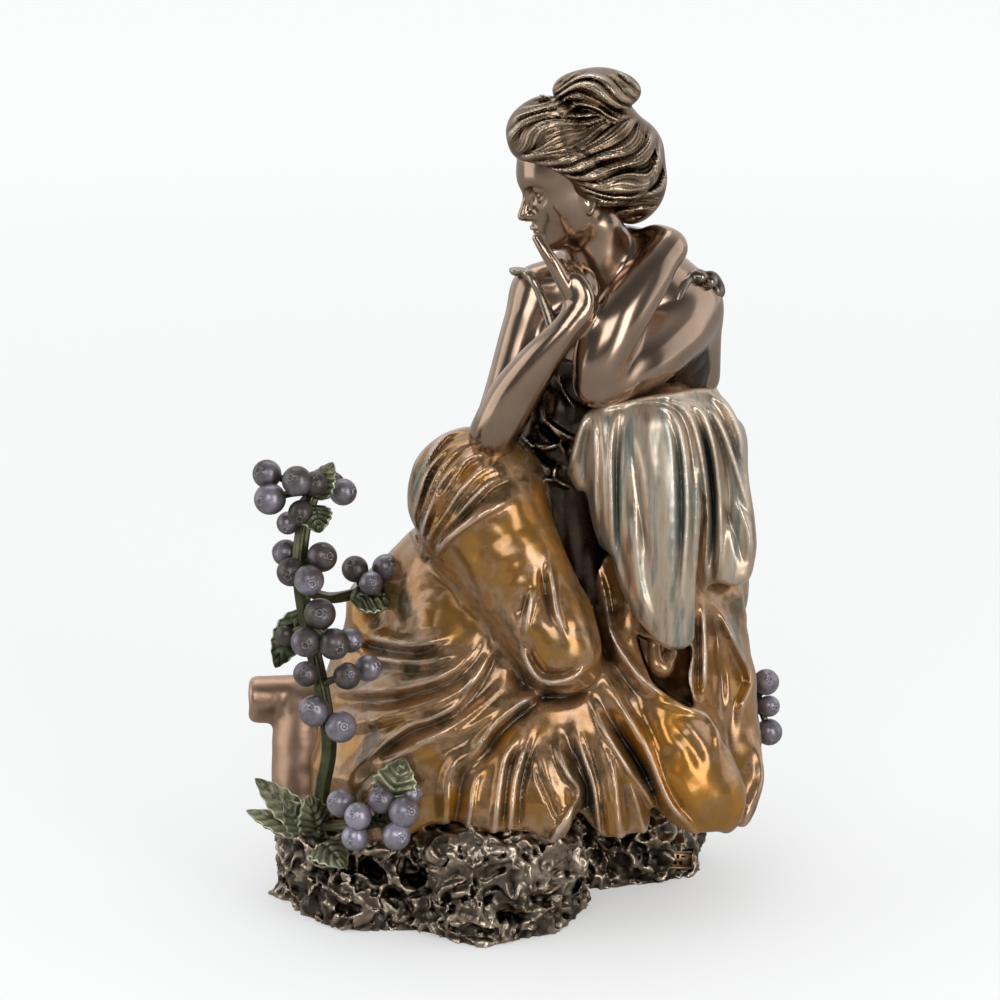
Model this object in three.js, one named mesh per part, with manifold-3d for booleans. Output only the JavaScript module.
// A crouching goddess figurine in painted cold-cast bronze, in millimetres with +Z up.
// She sits on a stone bench on a rocky base, her elbows on her knees and one hand at her lips,
// with a berry vine on her right. The viewer looks along +Y, with +X to the viewer's right.
// The pose is set out on a front drawing, a square sheet with 1000 units a side, x to the right
// and y down, as the figurine looks from a little above. A drawing point with a depth gives a place.
import * as THREE from "three";
import { ConvexGeometry } from "three/addons/geometries/ConvexGeometry.js";
import { mergeVertices } from "three/addons/utils/BufferGeometryUtils.js";
import Module from "manifold-3d";

// Driving sizes
const statueHeight = 180;
const baseThickness = 13;
const berryRadius = 3;
const vineStemRadius = 1.5;
const stalkRadius = 0.7;
const leafThickness = 1.1;
const socketClearance = 0.35;
const hemLap = 2;
const plaqueLength = 14;
const plaqueHeight = 4;
const plaqueThickness = 1.2;

// Depths and radii in the pose tables are millimetres on a figurine this high, with berries this big.
const drawnHeight = 180;
const drawnBerry = 3;
const share = statueHeight / drawnHeight;

// A faceted berry is made this much larger, to hold as much as a round one.
const facetSwell = 1.08;

// Ridge radii of the folds and locks, and how deep a ridge is sunk as a share of its radius
const ridgeRadius = { drape: 3, skirt: 3.6, knee: 1.8, back: 3.6, hair: 2.1, bun: 1.6, nape: 2.4 };
const ridgeSink = 0.3;

const drawing = {
  side: 1000,
  width: 211.5 * share,
  centre: new THREE.Vector3(-3, 0, 86).multiplyScalar(share),
  elevation: THREE.MathUtils.degToRad(14),
  distance: 850 * share,
};

const bronze = new THREE.MeshStandardMaterial({ color: 0x7a5a3c, roughness: 0.35, metalness: 0.9 });
const lilac = new THREE.MeshStandardMaterial({ color: 0x8c84a6, roughness: 0.45, metalness: 0.3 });

const wasm = await Module();
wasm.setup();

// A closed geometry as a solid that can be joined and cut.
function solid(geometry) {
  const bare = new THREE.BufferGeometry().setAttribute("position", geometry.getAttribute("position"));
  if (geometry.index) bare.setIndex(geometry.index);
  const merged = mergeVertices(bare, 1e-4);
  return new wasm.Manifold(
    new wasm.Mesh({
      numProp: 3,
      vertProperties: new Float32Array(merged.attributes.position.array),
      triVerts: new Uint32Array(merged.index.array),
    }),
  );
}

function join(solids) {
  return solids.reduce((sum, next) => sum.add(next));
}

// A solid back as a geometry for a mesh.
function geometryOf(manifold) {
  const mesh = manifold.getMesh();
  const positions = new Float32Array(mesh.numVert * 3);
  for (let i = 0; i < mesh.numVert; i++) {
    positions.set(mesh.vertProperties.subarray(i * mesh.numProp, i * mesh.numProp + 3), i * 3);
  }
  const geometry = new THREE.BufferGeometry();
  geometry.setAttribute("position", new THREE.BufferAttribute(positions, 3));
  geometry.setIndex(new THREE.BufferAttribute(new Uint32Array(mesh.triVerts), 1));
  geometry.computeVertexNormals();
  return geometry;
}

// The eye of the front drawing and the ray through one of its points.
const forward = new THREE.Vector3(0, Math.cos(drawing.elevation), -Math.sin(drawing.elevation));
const upward = new THREE.Vector3(0, Math.sin(drawing.elevation), Math.cos(drawing.elevation));
const eye = drawing.centre.clone().addScaledVector(forward, -drawing.distance);

function rayThrough(x, y) {
  const perUnit = drawing.width / drawing.side / drawing.distance;
  return forward
    .clone()
    .add(new THREE.Vector3((x - drawing.side / 2) * perUnit, 0, 0))
    .addScaledVector(upward, (drawing.side / 2 - y) * perUnit)
    .normalize();
}

// The place seen at a drawing point, at a depth behind the plane y = 0.
function place(x, y, depth) {
  const ray = rayThrough(x, y);
  return eye.clone().addScaledVector(ray, (depth * share - eye.y) / ray.y);
}

// A tube through stations [x, y, depth, radius] or [Vector3, radius], with pointed or round ends.
// flat squeezes its section along the second side direction, which leans towards `across`.
function limb(stations, { sides = 7, steps = 1, flat = 1, round = false, across = new THREE.Vector3(0, 1, 0) } = {}) {
  const knots = stations.map((s) => (s[0].isVector3 ? s[0] : place(s[0], s[1], s[2])));
  const radii = stations.map((s) => s[s.length - 1] * share);
  const curve = new THREE.CatmullRomCurve3(knots, false, "centripetal");
  const spans = knots.length - 1;
  const count = spans * steps;
  const rings = [];
  for (let i = 0; i <= count; i++) {
    const t = i / count;
    const k = Math.min(Math.floor(t * spans), spans - 1);
    const radius = THREE.MathUtils.lerp(radii[k], radii[k + 1], t * spans - k);
    rings.push({ centre: curve.getPoint(t), along: curve.getTangent(t), radius });
  }
  const capped = [];
  const first = rings[0];
  const last = rings[rings.length - 1];
  const pushCap = (ring, lift, size) => {
    capped.push({
      centre: ring.centre.clone().addScaledVector(ring.along, lift * ring.radius),
      along: ring.along,
      radius: ring.radius * size,
    });
  };
  if (round) pushCap(first, -0.62, 0.78);
  capped.push(...rings);
  if (round) pushCap(last, 0.62, 0.78);
  const positions = [];
  for (const ring of capped) {
    const a = new THREE.Vector3().crossVectors(across, ring.along);
    if (a.lengthSq() < 1e-4) a.crossVectors(new THREE.Vector3(1, 0, 0), ring.along);
    a.normalize();
    const b = new THREE.Vector3().crossVectors(ring.along, a);
    for (let s = 0; s < sides; s++) {
      const angle = (2 * Math.PI * s) / sides;
      const p = ring.centre
        .clone()
        .addScaledVector(a, Math.cos(angle) * ring.radius)
        .addScaledVector(b, Math.sin(angle) * ring.radius * flat);
      positions.push(p.x, p.y, p.z);
    }
  }
  const reach = round ? 0.97 : 0.6;
  const tipA = first.centre.clone().addScaledVector(first.along, -first.radius * reach);
  const tipB = last.centre.clone().addScaledVector(last.along, last.radius * reach);
  positions.push(tipA.x, tipA.y, tipA.z, tipB.x, tipB.y, tipB.z);
  return tubeSolid(positions, capped.length, sides);
}

// Closes rings of points, listed ring by ring with the two end points last.
function tubeSolid(positions, rings, sides) {
  const faces = [];
  const startTip = rings * sides;
  for (let s = 0; s < sides; s++) {
    const n = (s + 1) % sides;
    faces.push(startTip, n, s);
    for (let r = 0; r < rings - 1; r++) {
      const low = r * sides;
      const high = low + sides;
      faces.push(low + s, low + n, high + n, low + s, high + n, high + s);
    }
    faces.push(startTip + 1, (rings - 1) * sides + s, (rings - 1) * sides + n);
  }
  const geometry = new THREE.BufferGeometry();
  geometry.setAttribute("position", new THREE.BufferAttribute(new Float32Array(positions), 3));
  geometry.setIndex(faces);
  return solid(geometry);
}

// A direction for an egg, as long as the egg's radius that way.
function axis(x = 0, y = 0, z = 0) {
  return new THREE.Vector3(x, y, z).multiplyScalar(share);
}

// An egg shape on three directions, each as long as its radius.
function egg(centre, along, side, top, columns = 8, rows = 6) {
  const geometry = new THREE.SphereGeometry(1, columns, rows);
  geometry.applyMatrix4(new THREE.Matrix4().makeBasis(along, side, top).setPosition(centre));
  return solid(geometry);
}

// A tight skin over several balls, each [x, y, depth, radius].
function wrap(balls) {
  const points = [];
  for (const [x, y, depth, radius] of balls) {
    const ball = new THREE.OctahedronGeometry(radius * share, 1);
    const centre = place(x, y, depth);
    const corners = ball.attributes.position;
    for (let i = 0; i < corners.count; i++) {
      points.push(new THREE.Vector3().fromBufferAttribute(corners, i).add(centre));
    }
  }
  return solid(new ConvexGeometry(points));
}

// Rings of cloth or stone around an upright line: each level has a height, a centre, two radii
// and a wave that waves(angle, level share) adds, as a share of the radius.
function lofted(levels, sides, waves) {
  const positions = [];
  levels.forEach(({ height, x, y, width, depth }, i) => {
    for (let s = 0; s < sides; s++) {
      const angle = (2 * Math.PI * s) / sides;
      const swell = 1 + waves(angle, i / (levels.length - 1));
      positions.push(x + Math.cos(angle) * width * swell, y + Math.sin(angle) * depth * swell, height);
    }
  });
  const low = levels[0];
  const high = levels[levels.length - 1];
  positions.push(low.x, low.y, low.height, high.x, high.y, high.height);
  return tubeSolid(positions, levels.length, sides);
}

// The point where a line of sight meets a solid, sunk by a little under the surface.
const raycaster = new THREE.Raycaster();
function targetOf(manifold) {
  return new THREE.Mesh(geometryOf(manifold), new THREE.MeshBasicMaterial({ side: THREE.FrontSide }));
}

function meet(target, origin, direction, sink) {
  raycaster.set(origin, direction);
  const hit = raycaster.intersectObject(target)[0];
  return hit ? hit.point.addScaledVector(hit.face.normal, -sink) : null;
}

// A crisp four-sided ridge through places on a surface, fattest in its middle.
function ridge(found, radius) {
  const points = found.filter(Boolean);
  if (points.length < 3) return [];
  const last = points.length - 1;
  const stations = points.map((p, i) => [p, radius * (0.55 + 0.45 * Math.sin((Math.PI * i) / last))]);
  return [limb(stations, { sides: 4 })];
}

// Points spaced evenly along a smooth path of [x, y] pairs.
function spaced(path, count) {
  const curve = new THREE.CatmullRomCurve3(path.map(([x, y]) => new THREE.Vector3(x, y, 0)));
  return curve.getSpacedPoints(count - 1);
}

// A fold that lies on a surface under drawing points [x, y].
function seenFold(target, path, radius, count = 4) {
  const sink = radius * share * ridgeSink;
  return ridge(spaced(path, count).map((p) => meet(target, eye, rayThrough(p.x, p.y), sink)), radius);
}

// A fold on the back, under points [x, z] in millimetres of the drawn figurine.
function backFold(target, path, radius, count = 4) {
  const sink = radius * share * ridgeSink;
  const behind = new THREE.Vector3(0, -1, 0);
  return ridge(
    spaced(path, count).map((p) => meet(target, new THREE.Vector3(p.x, drawnHeight, p.y).multiplyScalar(share), behind, sink)),
    radius,
  );
}

// The body: torso, neck and arms
function bodySolids() {
  const torso = limb(
    [[620, 570, 22, 19], [632, 470, 22, 15.5], [628, 400, 16, 16.5], [622, 335, 9, 19], [618, 300, 6, 16]],
    { sides: 9, flat: 0.72 },
  );
  const lap = limb([[578, 390, 3, 10], [560, 455, 2, 11], [560, 520, 2, 12]]);
  const shoulders = limb(
    [[538, 292, 3, 5.2], [580, 290, 5, 6.2], [622, 288, 6, 7.4], [668, 294, 8, 6.8], [698, 302, 8, 6]],
  );
  const neck = limb([[622, 292, 6, 7], [606, 256, 1, 5.8], [597, 222, -1, 5.6]]);
  const throat = limb([[570, 236, -7, 3.6], [588, 252, -2, 5], [600, 276, 2, 5]]);
  const breasts = [
    egg(place(572, 345, -3), axis(7), axis(0, 6), axis(0, 0, 7)),
    egg(place(632, 348, -3), axis(6.6), axis(0, 6), axis(0, 0, 7)),
  ];
  const leftArm = limb(
    [[696, 305, 8, 6.2], [676, 330, 1, 7.2], [640, 365, -9, 6.2], [594, 386, -16, 4.9]],
    { steps: 2, round: true },
  );
  const leftForearm = limb(
    [[592, 386, -16, 4.7], [606, 350, -16, 5.5], [630, 305, -13, 5.5], [655, 270, -8, 4.8], [661, 252, -4, 4.6]],
    { round: true },
  );
  const leftHand = limb([[661, 251, -4, 4.4], [647, 252, 1, 4.2], [637, 268, 5, 3.4]]);
  const rightArm = limb([[537, 292, 3, 5.2], [522, 340, -1, 4.8], [507, 390, -6, 4.7], [491, 442, -12, 4.6]], { round: true });
  const rightForearm = limb(
    [[491, 446, -13, 4.8], [506, 410, -16, 5.2], [536, 365, -19, 4.2], [562, 335, -20, 3.2], [578, 312, -19, 2.9]],
  );
  return [torso, lap, shoulders, neck, throat, ...breasts, leftArm, leftForearm, leftHand, rightArm, rightForearm];
}

// The right hand, its forefinger on the lips and the others folded under the chin.
function handSolids() {
  const palm = limb([[578, 313, -19, 3], [580, 296, -18, 3.8], [576, 280, -17, 3]], { sides: 6, flat: 0.6 });
  const fingers = [
    [[570, 290, -18, 1.5], [557, 268, -19, 1.35], [546, 250, -18.5, 1.2], [537, 236, -18, 1]],
    [[574, 282, -18, 1.5], [566, 268, -17, 1.3], [560, 258, -15, 1.1]],
    [[580, 280, -17, 1.5], [574, 266, -15, 1.3], [570, 257, -12, 1.1]],
    [[586, 284, -16, 1.4], [584, 270, -14, 1.2], [580, 260, -11, 1]],
    [[588, 300, -17, 1.7], [594, 284, -14, 1.5], [592, 268, -11, 1.2]],
  ];
  return [palm, ...fingers.map((finger) => limb(finger, { sides: 4 }))];
}

// The head in its own frame: forward, left and top directions, in head heights.
const head = {
  height: 26 * share,
  centre: place(574, 190, -2),
  forward: new THREE.Vector3(-0.93, -0.31, -0.2).normalize(),
};
head.left = new THREE.Vector3(0, 0, 1).cross(head.forward).normalize();
head.top = new THREE.Vector3().crossVectors(head.forward, head.left);

function onHead(ahead, left, up) {
  return head.centre
    .clone()
    .addScaledVector(head.forward, ahead * head.height)
    .addScaledVector(head.left, left * head.height)
    .addScaledVector(head.top, up * head.height);
}

function headEgg([ahead, left, up], [length, width, tall]) {
  const size = head.height;
  return egg(
    onHead(ahead, left, up),
    head.forward.clone().multiplyScalar(length * size),
    head.left.clone().multiplyScalar(width * size),
    head.top.clone().multiplyScalar(tall * size),
  );
}

function headSolids() {
  const unit = head.height / share;
  const features = { sides: 4 };
  return [
    headEgg([-0.04, 0, 0.1], [0.42, 0.33, 0.38]),
    headHull([[[0.06, 0, 0.06], [0.3, 0.28, 0.24]], [[0.1, 0, -0.18], [0.24, 0.22, 0.2]], [[0.26, 0, -0.4], [0.08, 0.09, 0.08]]]),
    limb([[onHead(0.33, 0, 0.04), 0.03 * unit], [onHead(0.4, 0, -0.08), 0.035 * unit], [onHead(0.38, 0, -0.13), 0.05 * unit]], features),
    limb([[onHead(0.32, 0.06, -0.26), 0.02 * unit], [onHead(0.35, 0, -0.25), 0.035 * unit], [onHead(0.32, -0.06, -0.26), 0.02 * unit]], features),
    headEgg([-0.06, 0.3, -0.04], [0.06, 0.03, 0.1]),
  ];
}

// One tight skin over several eggs of the head, each [place, size] in head heights.
function headHull(eggs) {
  const points = eggs.flatMap(([at, size]) => {
    const corners = new THREE.IcosahedronGeometry(1, 1).attributes.position;
    return Array.from({ length: corners.count }, (_, i) =>
      onHead(at[0] + corners.getX(i) * size[0], at[1] + corners.getY(i) * size[1], at[2] + corners.getZ(i) * size[2]),
    );
  });
  return solid(new ConvexGeometry(points));
}

// The hair: a rolled mass combed back from the brow, and a bun, both with locks laid on them.
function hairSolids() {
  const mass = join([
    egg(place(590, 153, 3), axis(15.5, 0, -2), axis(0, 12.5), axis(1.5, 0, 10.5), 12, 7),
    egg(place(547, 133, -3), axis(8.4), axis(0, 9.5), axis(0, 0, 7.4), 9, 6),
    egg(place(632, 178, 6), axis(7.6), axis(0, 10), axis(0, 0, 9.6), 9, 6),
  ]);
  const bun = egg(place(597, 92, 2), axis(9.1, 0, -2), axis(0, 7.6), axis(1, 0, 5.2), 9, 6);
  const neckOfBun = limb([[600, 125, 3, 6], [598, 100, 2, 5]]);
  const target = targetOf(join([mass, bun]));
  const locks = [];
  const sweeps = 5;
  for (let i = 0; i < sweeps; i++) {
    const t = i / (sweeps - 1);
    const path = [
      [514 + 60 * t, 128 + 42 * t],
      [540 + 62 * t, 128 + 52 * t],
      [578 + 50 * t, 118 + 72 * t],
      [612 + 34 * t, 108 + 88 * t],
    ];
    locks.push(...seenFold(target, path, ridgeRadius.hair));
  }
  for (let i = 0; i < 3; i++) {
    const drop = 13 * i;
    locks.push(...seenFold(target, [[562 + drop / 3, 84 + drop], [590, 76 + drop * 1.1], [628 - drop / 3, 88 + drop]], ridgeRadius.bun));
  }
  for (let i = 0; i < 4; i++) {
    const x = 3 + 8 * i;
    locks.push(...backFold(target, [[x, 158], [x + 2, 148], [x + 1, 138]], ridgeRadius.nape, 3));
  }
  return [mass, bun, neckOfBun, ...locks];
}

// The legs and hips under the cloth, the train over the bench and the drape over her left knee
function clothSolids() {
  const hips = limb([[560, 590, 22, 16], [620, 585, 26, 18], [678, 585, 24, 15]]);
  const thighs = [
    limb([[575, 575, 22, 16], [525, 530, 5, 15], [474, 494, -8, 13.6]], { sides: 9, round: true }),
    limb([[680, 555, 22, 14], [684, 490, 8, 15], [666, 434, -7, 14]], { sides: 9, round: true }),
  ];
  const shins = [
    limb([[480, 497, -9, 13.2], [512, 560, -16, 12], [552, 635, -23, 10.4], [566, 655, -26, 8]], { sides: 9, round: true }),
    limb([[664, 440, -6, 12], [672, 540, -8, 11], [690, 690, -5, 11]], { sides: 9 }),
  ];
  const train = [
    wrap([[455, 590, 6, 13], [395, 625, 12, 9], [350, 640, 16, 7], [350, 720, 6, 11], [400, 740, -8, 11]]),
    wrap([[400, 740, -8, 11], [462, 560, 0, 12], [540, 660, -18, 13], [480, 790, -22, 9], [420, 780, -14, 9]]),
  ];
  const drape = [
    wrap([[622, 432, -14, 9], [668, 430, -13, 10], [608, 530, -18, 4], [658, 632, -20, 3.4], [688, 600, -17, 4]]),
    wrap([[692, 420, -4, 9], [722, 450, 2, 6], [740, 520, -2, 4], [732, 568, -6, 3.6], [712, 540, -10, 4]]),
  ];
  return [hips, ...thighs, ...shins, ...train, ...drape];
}

// How far the rock's front lobe rises above the base's thickness
const lobeRise = 8;

// The skirt that falls round the legs to the hem, fluted more towards the hem, which laps the rock.
function skirtSolid() {
  const hem = baseThickness / share + lobeRise - hemLap;
  const levels = [
    { height: hem, x: 3, y: 1, width: 47, depth: 37 },
    { height: 30, x: 3, y: 2, width: 48, depth: 36 },
    { height: 42, x: 5, y: 4, width: 45, depth: 33 },
    { height: 54, x: 8.5, y: 6, width: 41.2, depth: 29 },
    { height: 66, x: 12.5, y: 8, width: 36.5, depth: 24 },
    { height: 76, x: 15, y: 10, width: 30, depth: 19 },
  ].map((level) => Object.fromEntries(Object.entries(level).map(([k, v]) => [k, v * share])));
  return lofted(levels, 33, (angle, t) => (1 - t) * (0.045 * Math.cos(11 * angle + 0.6) + 0.03 * Math.cos(5 * angle)));
}

// The pleats of the drape and the long folds of the skirt, as drawing paths.
const drapePleats = [
  [[592, 410], [582, 440], [580, 474]],
  [[622, 405], [614, 480], [620, 560], [644, 622]],
  [[672, 404], [686, 480], [692, 560], [682, 636]],
  [[690, 400], [710, 450], [716, 510], [714, 572]],
  [[702, 396], [728, 440], [740, 500], [734, 574]],
  [[716, 398], [738, 430], [749, 490], [748, 550]],
];
const skirtFolds = [
  [[575, 680], [520, 700], [460, 740], [400, 770]],
  [[575, 690], [520, 740], [470, 790], [440, 812]],
  [[582, 695], [545, 740], [520, 790], [505, 822]],
  [[586, 700], [575, 760], [560, 830]],
  [[592, 690], [600, 750], [612, 824]],
  [[596, 670], [625, 720], [650, 780], [668, 826]],
  [[610, 660], [650, 720], [700, 770], [728, 818]],
  [[540, 650], [480, 690], [420, 710], [360, 722]],
  [[470, 600], [430, 628], [390, 640], [352, 646]],
  [[604, 560], [612, 620], [640, 680], [672, 720]],
  [[515, 650], [545, 688], [582, 682], [604, 650]],
  [[720, 640], [732, 700], [744, 760], [742, 815]],
];
const kneeFolds = [
  [[525, 452], [480, 456], [440, 482], [424, 512]],
  [[540, 470], [490, 474], [446, 502], [424, 538]],
  [[548, 490], [500, 494], [458, 524], [436, 556]],
];
const backFolds = [-28, -10, 8, 26, 40].map((x) => [[x * 0.5 + 10, 84], [x * 0.75 + 5, 56], [x, 24]]);

// The bench of stone that she sits on, and the rock under it.
function stoneSolids() {
  const slab = limb([[263, 700, 8, 4.8], [320, 699, 10, 4.8], [380, 690, 12, 4.8]], { round: true });
  const post = wrap([[300, 735, 6, 4], [300, 800, 4, 5], [350, 735, 4, 6], [350, 800, 2, 6], [330, 760, 20, 8]]);
  const seat = limb([[340, 705, 18, 9], [470, 690, 26, 15], [640, 680, 24, 15]]);
  const lobes = [
    { x: -29, y: -4, width: 22, depth: 27, top: lobeRise, seed: 1 },
    { x: -6, y: -13, width: 22, depth: 26, top: 10, seed: 2.3 },
    { x: 22, y: 16, width: 20, depth: 20, top: 6, seed: 3.1 },
    { x: -10, y: 20, width: 30, depth: 22, top: 8, seed: 4.4 },
  ].map(({ x, y, width, depth, top, seed }) => {
    const sizes = [[0, 0.95], [0.4, 1.02], [0.85, 0.97], [1, 0.8]];
    const levels = sizes.map(([rise, size]) => ({
      height: rise * (baseThickness + top * share),
      x: x * share,
      y: y * share,
      width: width * size * share,
      depth: depth * size * share,
    }));
    return lofted(levels, 15, (angle, t) => 0.035 * Math.cos(5 * angle + seed * 3 + 4 * t) + 0.03 * Math.cos(9 * angle - seed * 5 + 7 * t));
  });
  return [slab, post, seat, ...lobes];
}

// Stems, berries and leaves. A berry is [x, y, depth, size], its size a share of berryRadius.
const mainStem = [
  [316, 842, -20], [322, 790, -21], [329, 745, -22], [322, 690, -21], [312, 645, -20],
  [303, 600, -19], [300, 560, -18], [305, 520, -16], [314, 490, -15],
];
// The stem swells where the leaves leave it, just over the rock.
const stemFoot = [[316, 850, -19.5], [317, 838, -20], [318, 824, -20.5]];
const footSwell = 1.7;
const berryGroups = [
  { from: [311, 492, -15], berries: [[267, 474, -17, 1], [270, 499, -20, 1.1], [297, 481, -21, 1.05], [315, 484, -19, 0.9], [343, 492, -11, 0.95], [331, 484, -8, 0.9], [301, 513, -22, 0.9], [288, 523, -16, 0.8]] },
  { from: [301, 566, -18], berries: [[286, 553, -15, 0.95], [291, 572, -21, 1], [322, 557, -20, 1.05], [309, 580, -25, 1.05]] },
  { from: [309, 628, -20], berries: [[320, 614, -25, 1.1], [287, 635, -17, 0.8], [306, 642, -26, 1.05], [334, 644, -26, 1.1], [350, 640, -19, 0.9]] },
  { from: [321, 685, -21], berries: [[306, 674, -25, 0.9], [347, 676, -26, 0.95], [368, 668, -21, 0.95]] },
  { from: [328, 735, -22], berries: [[314, 711, -27, 1.1], [341, 727, -28, 1.1]] },
];
const backBranch = { stem: [[303, 590, -19], [330, 598, -4], [362, 592, 2], [380, 590, 3]], berries: [[355, 569, 0, 0.95], [386, 568, 2, 1], [371, 583, -3, 0.85]] };
const footBranch = { stem: [[318, 826, -20], [345, 826, -27], [376, 822, -30], [392, 816, -30]], berries: [[341, 803, -29, 1], [358, 816, -34, 0.95], [355, 837, -33, 0.95], [381, 800, -33, 0.95], [404, 812, -35, 1.08], [396, 836, -36, 1], [410, 795, -30, 0.85]] };
const vineLeaves = [
  { from: [318, 500, -17], to: [333, 462, -16], width: 3.4, face: [-0.7, -0.7, 0] },
  { from: [312, 505, -20], to: [320, 533, -25], width: 3.4, face: [0.1, -0.9, 0.3] },
  { from: [317, 838, -20], to: [285, 800, -20], width: 3.8, face: [-0.3, -0.9, 0.2] },
  { from: [317, 836, -20.5], to: [308, 795, -24], width: 3.8, face: [0.4, -0.9, 0.1] },
  { from: [317, 836, -20], to: [255, 778, -6], width: 3.2, face: [0, -0.8, 0.5] },
  { from: [317, 844, -20], to: [246, 810, -8], width: 2.8, face: [0, -0.5, 0.8] },
  { from: [316, 839, -20], to: [346, 868, -33], width: 4, face: [-0.2, -0.5, 0.8] },
  { from: [392, 818, -30], to: [402, 764, -24], width: 4.6, face: [0, -0.95, 0.3] },
  { from: [301, 610, -18], to: [275, 668, -14], width: 3.4, face: [-0.2, -0.9, 0.3] },
  { from: [350, 598, -2], to: [398, 600, 0], width: 3.8, face: [0, -0.7, 0.7] },
];
const sideSpray = {
  stem: [[744, 700, 14], [757, 700, 10], [761, 715, 9]],
  berries: [[766, 682, 8, 0.95], [769, 706, 8, 0.78], [770, 732, 8, 1]],
};

// A cluster opens out from its heart as its berries grow.
function berryPlace(from, [x, y, depth]) {
  return place(...from).lerp(place(x, y, depth), berryRadius / drawnBerry);
}

function berry(from, each, extra) {
  const size = each[3];
  const geometry = new THREE.IcosahedronGeometry(berryRadius * size * share * facetSwell + extra, 0);
  const centre = berryPlace(from, each);
  return solid(geometry.translate(centre.x, centre.y, centre.z));
}

function stem(path, radius, extra, sides = 4) {
  const places = path.map((p) => (p.isVector3 ? p : place(...p)));
  return limb(places.map((p) => [p, radius + extra / share]), { sides });
}

function stalks(from, berries, extra) {
  return berries.flatMap((b) => [stem([from, berryPlace(from, b)], stalkRadius, extra, 3), berry(from, b, extra)]);
}

function leaf({ from, to, width, face }, extra) {
  const a = place(...from);
  const b = place(...to);
  const normal = new THREE.Vector3(...face).normalize();
  const stations = [[0, 0.25], [0.35, 0.95], [0.65, 0.9], [0.93, 0.25]];
  const half = leafThickness / 2 / share / width;
  const curl = width * 0.35 * share;
  return limb(
    stations.map(([t, size]) => [a.clone().lerp(b, t).addScaledVector(normal, Math.sin(Math.PI * t) * curl), width * size + extra / share]),
    { sides: 4, flat: half + extra / width, across: normal },
  );
}

function vineSolid(extra = 0) {
  return join([
    stem(mainStem, vineStemRadius, extra),
    stem(stemFoot, vineStemRadius * footSwell, extra, 6),
    ...berryGroups.flatMap(({ from, berries }) => stalks(from, berries, extra)),
    stem(backBranch.stem, vineStemRadius * 0.7, extra),
    ...stalks(backBranch.stem[2], backBranch.berries, extra),
    stem(footBranch.stem, vineStemRadius * 0.8, extra),
    ...stalks(footBranch.stem[2], footBranch.berries, extra),
    ...vineLeaves.map((each) => leaf(each, extra)),
  ]);
}

function spraySolid(extra = 0) {
  return join([stem(sideSpray.stem, vineStemRadius * 0.8, extra), ...stalks(sideSpray.stem[1], sideSpray.berries, extra)]);
}

// The small bare plaque on the right of the rock, turned a little to follow it.
const plaqueTurn = THREE.MathUtils.degToRad(-4);
function plaqueSolid() {
  const geometry = new THREE.BoxGeometry(plaqueLength, plaqueThickness * 2, plaqueHeight);
  geometry.rotateZ(plaqueTurn);
  const centre = place(661, 858, 2);
  return solid(geometry.translate(centre.x, centre.y, centre.z));
}

function statueSolid() {
  const cloth = join([...clothSolids(), skirtSolid()]);
  const clothTarget = targetOf(cloth);
  const folds = [
    ...drapePleats.flatMap((path) => seenFold(clothTarget, path, ridgeRadius.drape)),
    ...skirtFolds.flatMap((path) => seenFold(clothTarget, path, ridgeRadius.skirt)),
    ...kneeFolds.flatMap((path) => seenFold(clothTarget, path, ridgeRadius.knee)),
    ...backFolds.flatMap((path) => backFold(clothTarget, path, ridgeRadius.back)),
  ];
  const woman = join([...bodySolids(), ...handSolids(), ...headSolids(), ...hairSolids()]);
  const rock = join([...stoneSolids(), plaqueSolid()]);
  const whole = join([cloth, ...folds, woman, rock]);
  const ground = solid(new THREE.BoxGeometry(statueHeight * 2, statueHeight * 2, statueHeight).translate(0, 0, -statueHeight / 2));
  return whole.subtract(ground);
}

const vine = vineSolid();
const spray = spraySolid();
const statue = statueSolid().subtract(vineSolid(socketClearance)).subtract(spraySolid(socketClearance));

const figurine = new THREE.Group();
function addPiece(name, manifold, material) {
  const mesh = new THREE.Mesh(geometryOf(manifold), material);
  mesh.name = name;
  figurine.add(mesh);
}
addPiece("statue", statue, bronze);
addPiece("berry_vine", vine, lilac);
addPiece("side_berries", spray, lilac);

export default figurine;
